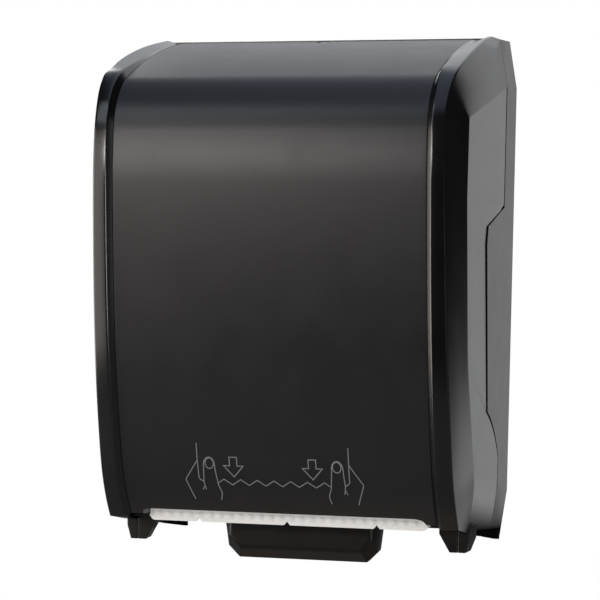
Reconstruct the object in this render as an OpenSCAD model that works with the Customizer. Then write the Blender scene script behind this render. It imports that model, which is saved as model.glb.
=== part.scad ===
// Wall-mounted roll towel dispenser with a swing-down cover and a push lever.
// X runs along the wall, Y points into the wall (wall face at Y = 0) and Z is up.
// The origin is the centre of the four wall screws, in the back face of the housing.

/* [Case] */
// Depth from the wall to the front of the cover
case_depth = 230; // [226:1:240]
// Height of the roof above the centre of the wall screws
roof_z = 217; // [214:1:226]
// Depth of the case's floor at the wall, below the centre of the wall screws
floor_drop = 211.5; // [208:0.5:214]
// Width over the two side shoulders
case_w = 314; // [310:1:324]
// Draft of the flat sides, in degrees
side_draft = 1.12; // [0.6:0.02:1.6]
// Wall thickness of the case mouldings
wall = 3; // [2.4:0.1:3.6]
// Thickness of the housing's back plate
back_t = 3.5; // [3:0.1:5]
// Gap along the line where cover and housing meet
part_gap = 0.8; // [0.6:0.1:1.2]
// Distance from the wall to the upper line where cover and housing meet
parting_y = 43; // [40:1:50]

/* [Cover] */
// Width of the front panel
panel_w = 256.8; // [250:0.4:260]
// Thickness of the front panel
panel_t = 3; // [2.4:0.1:3.6]
// Depth of the panel below the side rims
recess = 5; // [3:0.2:6]
// Width of the bevel between panel and rim
rim_bevel = 4; // [3:0.2:5]
// Width of the rim strip at mid height
rim_w = 12; // [10:0.2:13]
// Flare of the rim's outer edge towards the foot, in degrees
rim_flare = 0.57; // [0.3:0.01:0.8]
// Radius of the crown of the rims over the roof
crown_r = 600; // [500:10:800]
// Radius of the upper front corner
corner_r = 50; // [44:1:58]
// Slope of the roof, in degrees
roof_slope = 11.4; // [9:0.2:13]
// Forward lean of the upper front, in degrees
front_lean = 2; // [1:0.2:3]
// Radius of the gentle bow of the front
belly_r = 750; // [650:10:850]
// Radius of the tuck at the foot of the front
chin_r = 138; // [125:1:150]
// Width of the mouth cut in the foot of the panel
mouth_w = 240; // [230:1:244]
// Height of the mouth's upper edge below the wall screws' centre
mouth_drop = 169; // [166:0.5:172]

/* [Hinge] */
// Distance of the cover's hinge axis behind its front
hinge_back = 95; // [92:1:98]
// Depth of the hinge axis below the wall screws' centre
hinge_drop = 190; // [189:0.5:191]
// Radius of the hinge pins
hinge_pin_r = 2.5; // [2:0.1:3]
// Distance of each hinge foot's middle inside the rim's outer edge
foot_set = 8; // [7:0.2:9]

/* [Wall screws] */
// Spacing of the wall screws along the wall
wall_pitch_x = 190; // [170:5:200]
// Spacing of the wall screws up the wall
wall_pitch_z = 260; // [240:5:280]
// Radius of the wall screw holes
wall_hole_r = 3.2; // [2.5:0.1:4]

/* [Roll holder] */
// Distance of the roll axis behind the front of the cover
roll_back = 118; // [114:1:122]
// Height of the roll axis above the wall screws' centre
roll_z = 60; // [54:1:66]
// Width of the towel roll
roll_w = 203; // [190:1:206]
// Bore of the roll's core
core_d = 38; // [36:0.5:42]

/* [Feed] */
// Radius of the driven feed rollers
feed_r = 17; // [15:0.5:18]
// Radius of the pinch rollers
pinch_r = 10; // [8:0.5:11]
// Gap between feed and pinch rollers
nip_gap = 0.3; // [0.2:0.1:0.5]
// Distance of the feed shaft behind the front of the cover
feed_back = 94; // [92:0.5:96]
// Depth of the feed shaft below the wall screws' centre
feed_drop = 136; // [134:0.5:138]
// Radius of the feed and lever shafts
shaft_r = 4; // [3.5:0.1:4.5]
// Radius of the pinch shaft
pinch_shaft_r = 3; // [2.5:0.1:3.5]
// Radial running clearance of the shafts
run = 0.05; // [0.03:0.01:0.08]

/* [Lever and gears] */
// Teeth on the full circle of the lever's sector gear
sector_teeth = 56; // [54:1:58]
// Teeth on the pinion
pinion_teeth = 16; // [16:1:18]
// Gear module
gear_m = 1; // [0.95:0.05:1.05]
// Backlash on the pitch circle
backlash = 0.3; // [0.2:0.05:0.4]
// Push travel of the lever, in degrees
lever_travel = 26; // [20:1:28]
// Width over the lever paddle
paddle_w = 135.4; // [125:0.5:138]
// Height of the lever paddle
paddle_h = 33; // [30:0.5:34]
// Depth of the lever paddle, front to back
paddle_d = 20; // [18:0.5:26]

/* [Tear strip] */
// Length of the white tear strip
strip_w = 234; // [226:1:238]
// Pitch of the strip's ribs
rib_pitch = 8.3; // [7:0.1:10]
// Pitch of the saw teeth on the blade
tooth_pitch = 4; // [3:0.5:6]

/* [Hidden] */
$fn = 48;

// Colours
black = [0.10, 0.10, 0.11];
charcoal = [0.16, 0.16, 0.17];
grey = [0.35, 0.36, 0.37];
offwhite = [0.90, 0.88, 0.85];
steel = [0.72, 0.73, 0.75];
rubber = [0.08, 0.08, 0.08];
nylon = [0.85, 0.85, 0.80];

// Small clearances and fits
far = 400;
fit = 0.1;
seat = 0.02;
thin = 0.2;

// Places measured back from the front of the cover
hinge_y = case_depth - hinge_back;
roll_y = case_depth - roll_back;
feed_y = case_depth - feed_back;

// Side outline of the cover: three arcs and two straight runs, tangent to each other
function nrm(a) = [-cos(a), sin(a)];
function arc(c, r, a0, a1, n) = [for (i = [0:n]) c + r * nrm(a0 + (a1 - a0) * i / n)];
function flip(list) = [for (i = [len(list) - 1:-1:0]) list[i]];
belly_z = 10;
belly_a = 12.4;
chin_a = 36.2;
roof_r = 76;
roof_a = 90 - roof_slope;
roof_c = [-parting_y, roof_z - roof_r];
roof_p = roof_c + roof_r * nrm(roof_a);
corner_y = -case_depth + corner_r;
corner_end_y = corner_y - corner_r * cos(roof_a);
corner_c = [
    corner_y,
    roof_p[1] - (roof_p[0] - corner_end_y) * tan(roof_slope) - corner_r * sin(roof_a)
];
front_p = corner_c + corner_r * nrm(-front_lean);
front_run = (front_p[1] - belly_z) / cos(front_lean);
belly_p = front_p + front_run * [sin(front_lean), -cos(front_lean)];
belly_c = belly_p - belly_r * nrm(-front_lean);
chin_p = belly_c + belly_r * nrm(-belly_a);
chin_c = chin_p - chin_r * nrm(-belly_a);
chin_end = chin_c + chin_r * nrm(-chin_a);
function front_curve(d) = concat(
    arc(chin_c, chin_r - d, -chin_a, -belly_a, 6),
    arc(belly_c, belly_r - d, -belly_a, -front_lean, 6)
);
function rim_curve(d) = concat(
    front_curve(d),
    arc(corner_c, corner_r - d, -front_lean, roof_a, 12),
    arc(roof_c, roof_r - d, roof_a, 90, 4)
);

// Outer edge of the rims: it leaves the corner earlier and bows up over the roof
crown_a = 70.7;
crown_c = corner_c - (crown_r - corner_r) * nrm(crown_a);
crown_end_a = acos((crown_c[0] + parting_y) / crown_r);
function crown_curve(d) = concat(
    front_curve(d),
    arc(corner_c, corner_r - d, -front_lean, crown_a, 12),
    arc(crown_c, crown_r - d, crown_a, crown_end_a, 8)
);

// The panel lies below the rim and rises to it at the rear of the roof
panel_half = panel_w / 2;
panel_rise = 1;
panel_end = [-parting_y - part_gap / 2, roof_z - panel_rise];
panel_v = panel_end - corner_c;
panel_slope = atan2(panel_v[1], panel_v[0]) - asin((corner_r - recess) / norm(panel_v));
panel_roof_a = 90 - panel_slope;
function panel_curve(d) = concat(
    front_curve(recess + d),
    arc(corner_c, corner_r - recess - d, -front_lean, panel_roof_a, 12),
    [panel_end - d * nrm(panel_roof_a)]
);
function panel_ring(d0, d1) = concat(panel_curve(d0), flip(panel_curve(d1)));

// Widths of the case
rim_in = panel_half + rim_bevel;
rim_out = rim_in + rim_w;
side_half = case_w / 2;
shoulder_drop = 41;
shoulder_in = 6.2;
shoulder_edge = 1;
shoulder_z = roof_z - shoulder_drop;
shoulder_top_x = side_half - shoulder_in;
shoulder_top_z = roof_z - shoulder_edge;
heel_in = 13.5;
heel_x = side_half - heel_in;
foot_x = rim_out - foot_set;

// Height of the sloping floor at a distance y from the wall
function floor_at(y) = -floor_drop + (floor_drop + chin_end[1]) * y / -chin_end[0];

// Corners of the flat sides, each set back from the front
brow_in = 35;
brow_drop = 28;
temple_in = 33;
temple_drop = 91;
waist_in = 51;
waist_z = -47;
jaw_in = 86;
jaw_z = -137;
heel_rise = 43;
heel_z = -floor_drop + heel_rise;
side_outline = [
    [0, shoulder_z], [-parting_y, shoulder_z], [-case_depth + brow_in, shoulder_z - brow_drop],
    [-case_depth + temple_in, shoulder_z - temple_drop], [-case_depth + waist_in, waist_z],
    [-case_depth + jaw_in, jaw_z], [0, heel_z]
];

// Line where the cover meets the housing; its lower part is round about the hinge
hinge = [-hinge_y, -hinge_drop];
part_a0 = 68;
part_a1 = 32;
part_tail_in = 2.1;
part_tail_z = -155;
part_arc_r = (hinge_y - parting_y - part_tail_in) / cos(part_a1);
step_z = [76, 62, 47];
step_reach = 67;
step_nose = 4;
hem_y = 55.4;
part_line = concat(
    [[-parting_y, far], [-parting_y, step_z[0]], [-parting_y - step_reach, step_z[1]]],
    [[-parting_y - step_reach - step_nose, step_z[2]]],
    [for (a = [part_a0:-6:part_a1]) hinge + part_arc_r * [cos(a), sin(a)]],
    [[-parting_y - part_tail_in, part_tail_z], [-hem_y, floor_at(hem_y)]]
);

// Draws a Y-Z outline along X, from x0 to x1
module yz(x0, x1) {
    translate([x0, 0, 0]) rotate([90, 0, 90]) linear_extrude(x1 - x0) children();
}

// Draws an X-Z outline along Y, from y0 to y1
module xz(y0, y1) {
    translate([0, y1, 0]) rotate([90, 0, 0]) linear_extrude(y1 - y0) children();
}

// A round bar along X, at a point of the Y-Z plane
module bar(r, x0, x1, p) {
    translate([x0, p[0], p[1]]) rotate([0, 90, 0]) cylinder(r = r, h = x1 - x0);
}

module both_sides() {
    children();
    mirror([1, 0, 0]) children();
}

// Parts of the outer form that the cover and the housing share, set in by t
module case_flank(t) {
    translate([side_half - t, 0, shoulder_z]) rotate([0, side_draft, 0]) translate([-thin, 0, -shoulder_z])
        yz(0, thin) intersection() {
            polygon(side_outline);
            translate([t, -t]) polygon(side_outline);
            translate([0, t]) polygon(side_outline);
        }
    translate([shoulder_top_x - t - thin, -parting_y, shoulder_top_z - t - thin])
        cube([thin, parting_y, thin]);
    translate([heel_x - t - thin, -thin, -floor_drop + t]) cube(thin);
}

// The rim's outer edge flares towards the foot
module rim_edge(t) {
    translate([rim_out - t, 0, 0]) rotate([0, -rim_flare, 0]) translate([-thin, 0, 0]) yz(0, thin) children();
}

function back_edge(t) = [[0, roof_z - t], [0, -floor_drop + t]];

module housing_form(t) {
    hull() {
        both_sides() rim_edge(t) polygon(concat(rim_curve(t), [[0, roof_z - t]]));
        yz(-rim_in, rim_in) polygon(concat(rim_curve(t), back_edge(t)));
        both_sides() case_flank(t);
    }
}

module cheek_form(t) {
    hull() {
        rim_edge(t) polygon(concat(crown_curve(t), [[0, roof_z - t]]));
        yz(rim_in, rim_in + thin) polygon(concat(rim_curve(t), back_edge(t)));
        yz(panel_half, panel_half + thin) polygon(concat(panel_curve(t), back_edge(t)));
        case_flank(t);
    }
}

// Housing on the wall
wall_boss_r = 9;
wall_boss_h = 1.5;
module wall_screws() {
    for (sx = [-1, 1], sz = [-1, 1])
        translate([sx * wall_pitch_x / 2, 0, sz * wall_pitch_z / 2]) rotate([90, 0, 0]) children();
}

module rear_region() {
    offset(delta = -part_gap / 2) polygon(concat(part_line, [[-hem_y, -far], [far, -far], [far, far]]));
}

module rear_housing() color(charcoal) difference() {
    union() {
        difference() {
            intersection() {
                housing_form(0);
                yz(-far, far) rear_region();
            }
            intersection() {
                housing_form(wall);
                translate([-far, -2 * far - back_t, -far]) cube(2 * far);
            }
        }
        wall_screws() cylinder(r = wall_boss_r, h = back_t + wall_boss_h);
    }
    wall_screws() translate([0, 0, -1]) cylinder(r = wall_hole_r, h = back_t + wall_boss_h + 2);
}

// Lock in the rear edge of the roof: keeper on the housing, barrel and cam on the cover
lock_r = 6;
lock_set = 8.5;
lock_len = 15.2;
lock_tube_t = 1.5;
key_t = 1.2;
key_w = 6;
key_deep = 5;
cam_t = 2;
cam_reach = 19;
cam_w = 6;
cam_hook = 3;
cam_hook_h = 8.7;
lock_p = panel_end - lock_set * [cos(panel_slope), sin(panel_slope)];
strike_t = 2;
strike_half = 6;
strike_y = parting_y - 2.5;
strike_drop = 10;
strike_base = [28, 18];
module at_lock() {
    translate([0, lock_p[0], lock_p[1]]) rotate([panel_slope, 0, 0]) children();
}

module strike_plate() color(steel) union() {
    translate([-strike_half, -strike_y, roof_z - wall - strike_drop])
        cube([2 * strike_half, strike_t, strike_drop]);
    translate([-strike_base[0] / 2, -strike_y, roof_z - wall - strike_t])
        cube([strike_base[0], strike_base[1], strike_t]);
}

module lock_housing() color(charcoal) at_lock() difference() {
    translate([0, 0, -lock_len + cam_t]) cylinder(r = lock_r + lock_tube_t, h = lock_len - cam_t - panel_t);
    translate([0, 0, -lock_len]) cylinder(r = lock_r + run, h = lock_len);
}

module lock_cylinder() color(steel) at_lock() difference() {
    translate([0, 0, -lock_len]) cylinder(r = lock_r, h = lock_len);
    translate([-key_t / 2, -key_w / 2, -key_deep]) cube([key_t, key_w, key_deep + 1]);
}

module latch_cam() color(steel) at_lock() translate([0, 0, -lock_len - cam_t]) union() {
    linear_extrude(cam_t) {
        circle(r = lock_r);
        translate([0, -cam_w / 2]) square([cam_reach, cam_w]);
    }
    translate([cam_reach - cam_hook, -cam_w / 2, 0]) cube([cam_hook, cam_w, cam_hook_h]);
}

// Cover: panel between two cheeks, which swing together on the hinge feet
ledge_w = 7;
ledge_t = 3;
ledge_web = 2.5;
mouth_r = 8;
mouth_flare = 2;
foot_swing_r = 14.4;
function mouth_round(x, a0) =
    [for (a = [a0:15:a0 + 90]) [x + mouth_r * cos(a), -mouth_drop - mouth_r + mouth_r * sin(a)]];
module cover_region() {
    offset(delta = -part_gap / 2) polygon(concat(part_line,
        [[-far, floor_at(far)], [-far, far]]));
}

// The cheek's floor is a narrow flange; inside it the floor is open behind the rim's foot
floor_web = 15;
module floor_opening() {
    y0 = -chin_end[0] - floor_web;
    polygon([
        [-y0, floor_at(y0) - wall], [0, floor_at(0) - wall],
        [0, floor_at(0) + 2 * wall], [-y0, floor_at(y0) + 2 * wall]
    ]);
}

// Space within the cheek's outer form and below the cover's floor
module knuckle_space() {
    cheek_form(0);
    yz(0, far) polygon([[-far, floor_at(far)], [0, floor_at(0)], [0, -far], [-far, -far]]);
}

module front_panel() color(black) difference() {
    yz(-panel_half + fit, panel_half - fit) polygon(panel_ring(0, panel_t));
    xz(-far, -hinge_y) polygon(concat(
        [[mouth_w / 2 + mouth_flare, -far], [mouth_w / 2 + mouth_flare, chin_end[1] - 1]],
        mouth_round(mouth_w / 2 - mouth_r, 0),
        mouth_round(-mouth_w / 2 + mouth_r, 90),
        [[-mouth_w / 2 - mouth_flare, chin_end[1] - 1], [-mouth_w / 2 - mouth_flare, -far]]
    ));
    at_lock() translate([0, 0, -2 * panel_t]) cylinder(r = lock_r + run, h = 3 * panel_t);
}

module cheek() difference() {
    union() {
        difference() {
            intersection() {
                cheek_form(0);
                yz(panel_half, far) cover_region();
            }
            cheek_form(wall);
            yz(0, foot_x + foot_gap / 2) floor_opening();
            bar(base_swing_r, 0, base_half + 1, hinge);
        }
        yz(panel_half - ledge_w, panel_half + ledge_web)
            polygon(panel_ring(panel_t + fit, panel_t + fit + ledge_t));
        yz(panel_half + fit, panel_half + ledge_web)
            polygon(panel_ring(1, panel_t + fit + ledge_t));
        intersection() {
            foot_block(foot_gap / 2, foot_half);
            knuckle_space();
        }
    }
    bar(hinge_pin_r + run, foot_x - foot_gap, foot_x + pin_half + pin_play, hinge);
    bar(foot_swing_r, 0, foot_x + foot_gap / 2, hinge);
}

module right_cheek() color(charcoal) cheek();
module left_cheek() color(charcoal) mirror([1, 0, 0]) cheek();

// Base frame and hinge feet
base_t = 4;
base_rise = 15;
base_z = -hinge_drop + base_rise;
base_in = 3.4;
base_half = foot_x - base_in;
slot_front = feed_y + 20.5;
slot_rear = feed_y + 10;
slot_half = 112;
base_lip = 4.5;
base_front = slot_front + base_lip;
base_swing_r = norm([base_front - hinge_y, hinge_drop + base_z]) + 4;
lever_hole_w = 144;
lever_hole_front = feed_y - 6;
lever_hole_run = 74;
lever_hole_rear = lever_hole_front - lever_hole_run;
rail_back = 12;
rail_h = 10;
rail_t = 3;
flange_h = 24;
module base_frame() color(black) difference() {
    union() {
        translate([-base_half, -base_front, base_z - base_t])
            cube([2 * base_half, base_front - back_t, base_t]);
        both_sides() translate([base_half - rail_t, -hinge_y + rail_back, base_z])
            cube([rail_t, hinge_y - rail_back - back_t, rail_h]);
        translate([-slot_half, -back_t - rail_t, base_z]) cube([2 * slot_half, rail_t, flange_h]);
    }
    translate([-slot_half, -slot_front, base_z - 2 * base_t])
        cube([2 * slot_half, slot_front - slot_rear, 3 * base_t]);
    translate([-lever_hole_w / 2, -lever_hole_front, base_z - 2 * base_t])
        cube([lever_hole_w, lever_hole_front - lever_hole_rear, 3 * base_t]);
    screw_places() cylinder(r = screw_r + seat, h = 4 * base_t, center = true);
}

foot_top = base_z - base_t;
foot_h = 22.5;
foot_half = 15.2;
foot_tip = 6.6;
foot_brow = 7.5;
foot_front = 6;
foot_rear = 8;
foot_gap = 0.4;
module foot_block(x0, x1) {
    intersection() {
        xz(hinge[0] - foot_front, hinge[0] + foot_rear) translate([foot_x, foot_top]) polygon([
            [-foot_half, 0], [foot_half, 0], [foot_half, -foot_brow],
            [foot_tip, -foot_h], [-foot_tip, -foot_h], [-foot_half, -foot_brow]
        ]);
        translate([foot_x + x0, -far, -far]) cube([x1 - x0, 2 * far, 2 * far]);
    }
}

module hinge_foot() color(black) difference() {
    foot_block(-foot_half, -foot_gap / 2);
    bar(hinge_pin_r + seat, foot_x - foot_half, foot_x, hinge);
}

module right_hinge_foot() hinge_foot();
module left_hinge_foot() mirror([1, 0, 0]) hinge_foot();

pin_half = 9.5;
pin_play = 0.5;
module hinge_pins() color(steel) both_sides() bar(hinge_pin_r, foot_x - pin_half, foot_x + pin_half, hinge);

// Feed module: side plates on the base, rollers, chute, tear strip and blade
feed_p = [-feed_y, -feed_drop];
pinch_p = feed_p - [feed_r + nip_gap + pinch_r, 0];
plate_x = 118;
plate_t = 3.5;
plate_tab = 12;
mesh_a = -25;
gear_c = gear_m * (sector_teeth + pinion_teeth) / 2;
lever_p = feed_p + gear_c * [cos(mesh_a), sin(mesh_a)];
bush_t = 2.5;
bush_lip = 2;
lip_t = 1.5;
screw_r = 1.6;
screw_head_r = 3.2;
screw_head_h = 2;
screw_in = [10, 44];
screw_y = [feed_y - screw_in[0], feed_y - screw_in[1]];
tab_end = 6;
plate_front = 8;
plate_brow = 6;
plate_top = 20;
plate_rear = 16;
module screw_places() {
    both_sides() for (y = screw_y) translate([plate_x - plate_tab / 2, -y, base_z]) children();
}

module side_plate() color(grey) difference() {
    union() {
        yz(plate_x, plate_x + plate_t) polygon([
            [pinch_p[0] - plate_front, base_z], [pinch_p[0] - plate_front, feed_p[1] + plate_brow],
            [pinch_p[0] + plate_front / 2, feed_p[1] + plate_top],
            [feed_p[0] + plate_top, feed_p[1] + plate_top],
            [lever_p[0] + plate_rear, lever_p[1] + plate_rear / 2], [lever_p[0] + plate_rear, base_z]
        ]);
        translate([plate_x - plate_tab, -screw_y[0] - tab_end, base_z])
            cube([plate_tab, screw_y[0] - screw_y[1] + 2 * tab_end, plate_t]);
    }
    bar(shaft_r + bush_t + seat, plate_x - 1, plate_x + plate_t + 1, feed_p);
    bar(shaft_r + run, plate_x - 1, plate_x + plate_t + 1, lever_p);
    bar(pinch_shaft_r + bush_t + seat, plate_x - 1, plate_x + plate_t + 1, pinch_p);
    screw_places() cylinder(r = screw_r + seat, h = 4 * plate_t, center = true);
}
module right_side_plate() side_plate();
module left_side_plate() mirror([1, 0, 0]) side_plate();

module module_screws() color(steel) screw_places() union() {
    translate([0, 0, -base_t]) cylinder(r = screw_r, h = base_t + plate_t);
    translate([0, 0, plate_t]) cylinder(r = screw_head_r, h = screw_head_h);
}

module bush(r, p) difference() {
    union() {
        bar(r + bush_t, plate_x, plate_x + plate_t, p);
        bar(r + bush_t + bush_lip, plate_x - lip_t, plate_x, p);
    }
    bar(r + run, plate_x - lip_t - 1, plate_x + plate_t + 1, p);
}
module shaft_bushes() color(nylon) both_sides() bush(shaft_r, feed_p);
module pinch_bushes() color(nylon) both_sides() bush(pinch_shaft_r, pinch_p);

feed_end = 134;
module feed_shaft() color(steel) bar(shaft_r, -feed_end, feed_end, feed_p);

roller_x = [-74.8, 0, 74.8];
roller_w = 46;
module rollers(r, bore, p) {
    for (x = roller_x) difference() {
        bar(r, x - roller_w / 2, x + roller_w / 2, p);
        bar(bore, x - roller_w, x + roller_w, p);
    }
}
module feed_rollers() color(rubber) rollers(feed_r, shaft_r + seat, feed_p);
module pinch_rollers() color(nylon) rollers(pinch_r, pinch_shaft_r + seat, pinch_p);

pinch_end = 124;
module pinch_shaft() color(steel) bar(pinch_shaft_r, -pinch_end, pinch_end, pinch_p);

wheel_r = 20;
wheel_w = 7;
wheel_grips = 18;
grip_r = 2;
grip_out = 0.6;
function around(i, n) = [cos(360 * i / n), sin(360 * i / n)];
module advance_wheel() color(grey) difference() {
    bar(wheel_r, -feed_end, -feed_end + wheel_w, feed_p);
    bar(shaft_r + seat, -far, 0, feed_p);
    for (i = [0:wheel_grips - 1])
        bar(grip_r, -far, 0, feed_p + (wheel_r + grip_out) * around(i, wheel_grips));
}

chute_t = 2.5;
chute_h = 17;
chute_lean = 3;
chute_bend = 5;
module paper_chute() color(charcoal) yz(-slot_half, slot_half) polygon([
    [-slot_rear, base_z], [-slot_rear, base_z + chute_h - chute_bend],
    [-slot_rear + chute_lean, base_z + chute_h], [-slot_rear + chute_lean + chute_t, base_z + chute_h],
    [-slot_rear + chute_t, base_z + chute_h - chute_bend - 1], [-slot_rear + chute_t, base_z]
]);

strip_t = 4;
strip_rise = 9;
strip_hang = 6;
strip_top = base_z + strip_rise;
strip_low = base_z - strip_hang;
strip_round = 6;
rib_t = 0.8;
rib_gap = 2.6;
rib_low = 1.2;
rib_trim = 3;
rib_w = rib_pitch - rib_gap;
rib_n = floor((strip_w - 2 * strip_round) / rib_pitch / 2);
scallop_r = 1;
notch_w = 5;
notch_h = 2;
module tear_strip() color(offwhite) difference() {
    union() {
        xz(-base_front - strip_t, -base_front) {
            translate([-strip_w / 2, strip_low + strip_round])
                square([strip_w, strip_top - strip_low - strip_round]);
            translate([-strip_w / 2 + strip_round, strip_low])
                square([strip_w - 2 * strip_round, strip_round * 2]);
            for (s = [-1, 1])
                translate([s * (strip_w / 2 - strip_round), strip_low + strip_round])
                    circle(r = strip_round);
        }
        for (i = [-rib_n:rib_n])
            translate([i * rib_pitch - rib_w / 2, -base_front - strip_t - rib_t, strip_low + rib_low])
                cube([rib_w, 2 * rib_t, strip_top - strip_low - rib_trim]);
    }
    for (i = [-rib_n:rib_n - 1])
        translate([(i + 0.5) * rib_pitch, -base_front + 1, strip_low]) rotate([90, 0, 0])
            cylinder(r = scallop_r, h = strip_t + 4, $fn = 16);
    for (x = roller_x) translate([x - notch_w / 2, -far, strip_low - 1]) cube([notch_w, far, notch_h + 1]);
}

blade_t = 0.8;
blade_h = 8;
blade_set = 0.8;
blade_low = strip_low + blade_set;
saw_h = 2.5;
saw_n = floor(slot_half * 2 / tooth_pitch);
saw_half = saw_n * tooth_pitch / 2;
module tear_blade() color(steel) xz(-slot_front, -slot_front + blade_t) polygon(concat(
    [[saw_half, blade_low + blade_h], [-saw_half, blade_low + blade_h]],
    [for (i = [0:2 * saw_n]) [-saw_half + i * tooth_pitch / 2, blade_low + (i % 2 == 0 ? saw_h : 0)]]
));

// Roll holder: a fixed arm on the left, a hinged arm on the right, and a turning hub on each
roll_p = [-roll_y, roll_z];
arm_t = 4;
arm_gap = 5;
arm_x = roll_w / 2 + arm_gap;
arm_boss_r = 16;
arm_root_h = 64;
arm_foot_w = 18;
stub_r = 6;
hub_play = 0.5;
hub_lip_t = 4;
hub_lip_r = 24;
hub_nose = 14;
core_play = 1;
knuckle_r = 6;
knuckle_half = 30;
knuckle_x = arm_x + arm_t / 2;
knuckle_off = 9.5;
knuckle_y = back_t + knuckle_off;
bracket_t = 3;
ear_t = 5;
ear_gap = 0.3;
arm_pin_r = 2.5;
bracket_w = 40;
bracket_half = 50;
arm_screw_z = 44;
module arm_outline(root_y) {
    translate(roll_p) circle(r = arm_boss_r);
    polygon([
        [-root_y, roll_z - arm_root_h / 2], [roll_p[0], roll_z - arm_boss_r],
        [roll_p[0], roll_z + arm_boss_r], [-root_y, roll_z + arm_root_h / 2]
    ]);
}

module arm_screw_places() {
    for (sz = [-1, 1]) {
        translate([-arm_x - arm_t - arm_foot_w / 2, -back_t - bracket_t, roll_z + sz * arm_screw_z / 2])
            rotate([90, 0, 0]) children();
        translate([knuckle_x, -back_t - bracket_t, roll_z + sz * arm_screw_z])
            rotate([90, 0, 0]) children();
    }
}

module left_roll_arm() color(grey) difference() {
    union() {
        yz(-arm_x - arm_t, -arm_x) arm_outline(back_t);
        translate([-arm_x - arm_t - arm_foot_w, -back_t - bracket_t, roll_z - arm_root_h / 2])
            cube([arm_foot_w + arm_t, bracket_t, arm_root_h]);
        bar(stub_r, -arm_x - arm_t, -arm_x + hub_play + hub_lip_t + hub_nose, roll_p);
    }
    arm_screw_places() cylinder(r = screw_r + seat, h = 3 * bracket_t, center = true);
}

module right_roll_arm() color(grey) difference() {
    union() {
        yz(arm_x, arm_x + arm_t) arm_outline(knuckle_y);
        translate([knuckle_x, -knuckle_y, roll_z - knuckle_half])
            cylinder(r = knuckle_r, h = 2 * knuckle_half);
        bar(stub_r, arm_x - hub_play - hub_lip_t - hub_nose, arm_x + arm_t, roll_p);
    }
    translate([knuckle_x, -knuckle_y, roll_z - far]) cylinder(r = arm_pin_r + run, h = 2 * far);
    translate([arm_x - far / 2, -far, roll_z + knuckle_half]) cube(far);
    translate([arm_x - far / 2, -far, roll_z - knuckle_half - far]) cube(far);
}

module arm_bracket() color(grey) difference() {
    union() {
        translate([knuckle_x - bracket_w / 2, -back_t - bracket_t, roll_z - bracket_half])
            cube([bracket_w, bracket_t, 2 * bracket_half]);
        for (sz = [0, 1]) mirror([0, 0, sz]) translate([0, 0, (sz == 0 ? 1 : -1) * roll_z])
            translate([knuckle_x, -knuckle_y, knuckle_half + ear_gap]) {
                cylinder(r = knuckle_r, h = ear_t);
                translate([-knuckle_r, 0, 0]) cube([2 * knuckle_r, knuckle_y - back_t, ear_t]);
            }
    }
    translate([knuckle_x, -knuckle_y, roll_z - far]) cylinder(r = arm_pin_r + seat, h = 2 * far);
    arm_screw_places() cylinder(r = screw_r + seat, h = 3 * bracket_t, center = true);
}

pin_end = 1.5;
module arm_pin() color(steel) translate([knuckle_x, -knuckle_y, roll_z - knuckle_half - ear_t - pin_end])
    cylinder(r = arm_pin_r, h = 2 * (knuckle_half + ear_t + pin_end));

module arm_screws() color(steel) arm_screw_places() union() {
    translate([0, 0, -bracket_t]) cylinder(r = screw_r, h = bracket_t);
    cylinder(r = screw_head_r, h = screw_head_h);
}

hub_r = core_d / 2 - core_play;
hub_len = hub_lip_t + hub_nose;
module hub() color(black) translate([arm_x - hub_play, roll_p[0], roll_p[1]]) rotate([0, -90, 0])
    rotate_extrude() polygon([
        [stub_r + run, 0], [hub_lip_r, 0], [hub_lip_r, hub_lip_t], [hub_r, hub_lip_t],
        [hub_r, hub_len - hub_nose / 2], [hub_r - 3 * core_play, hub_len], [stub_r + run, hub_len]
    ]);
module right_hub() hub();
module left_hub() mirror([1, 0, 0]) hub();

// Lever: a hollow paddle on two arms, keyed to a cross shaft with the sector gear and a spring arm
paddle_gap = 5;
paddle_top = base_z - base_t - paddle_gap;
paddle_front = feed_y - 10;
paddle_face_in = 6.4;
paddle_face_rise = 10;
paddle_bevel = 10;
paddle_wall = 3;
paddle_taper = 3.2;
paddle_chin = 9.5;
paddle_arm_in = 8;
paddle_arm_x = 50;
paddle_arm_t = 6;
lever_boss_r = 8;
lever_end = 132;
function paddle_face(half, z1, taper, t) = [
    [half - t, paddle_top - t], [half - taper - t, z1 + paddle_chin],
    [half - taper - paddle_chin - t / 2, z1 + t], [-half + taper + paddle_chin + t / 2, z1 + t],
    [-half + taper + t, z1 + paddle_chin], [-half + t, paddle_top - t]
];
module paddle_form(t, tail) hull() {
    xz(-paddle_front + t, -paddle_front + t + thin)
        polygon(paddle_face(paddle_w / 2 - paddle_face_in, paddle_top - paddle_h + paddle_face_rise, 0, t));
    xz(-paddle_front + paddle_bevel, -paddle_front + paddle_d + tail)
        polygon(paddle_face(paddle_w / 2, paddle_top - paddle_h, paddle_taper, t));
}

module lever_paddle() color(black) difference() {
    union() {
        difference() {
            paddle_form(0, 0);
            paddle_form(paddle_wall, 1);
        }
        both_sides() yz(paddle_arm_x - paddle_arm_t / 2, paddle_arm_x + paddle_arm_t / 2) {
            translate(lever_p) circle(r = lever_boss_r);
            polygon([
                [-paddle_front + paddle_arm_in, paddle_top - paddle_wall / 2], lever_p - [lever_boss_r, 0],
                lever_p + [lever_boss_r, 0], [-paddle_front + paddle_d, paddle_top - paddle_wall / 2]
            ]);
        }
    }
    bar(shaft_r + seat, -far, far, lever_p);
}

module lever_shaft() color(steel) bar(shaft_r, -plate_x - plate_t, lever_end, lever_p);

bumper_d = 12.5;
module lever_bumpers() color(rubber) both_sides()
    translate([paddle_arm_x - paddle_arm_t / 2, -lever_hole_front, base_z - base_t])
        cube([paddle_arm_t, bumper_d, base_t]);

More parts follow.
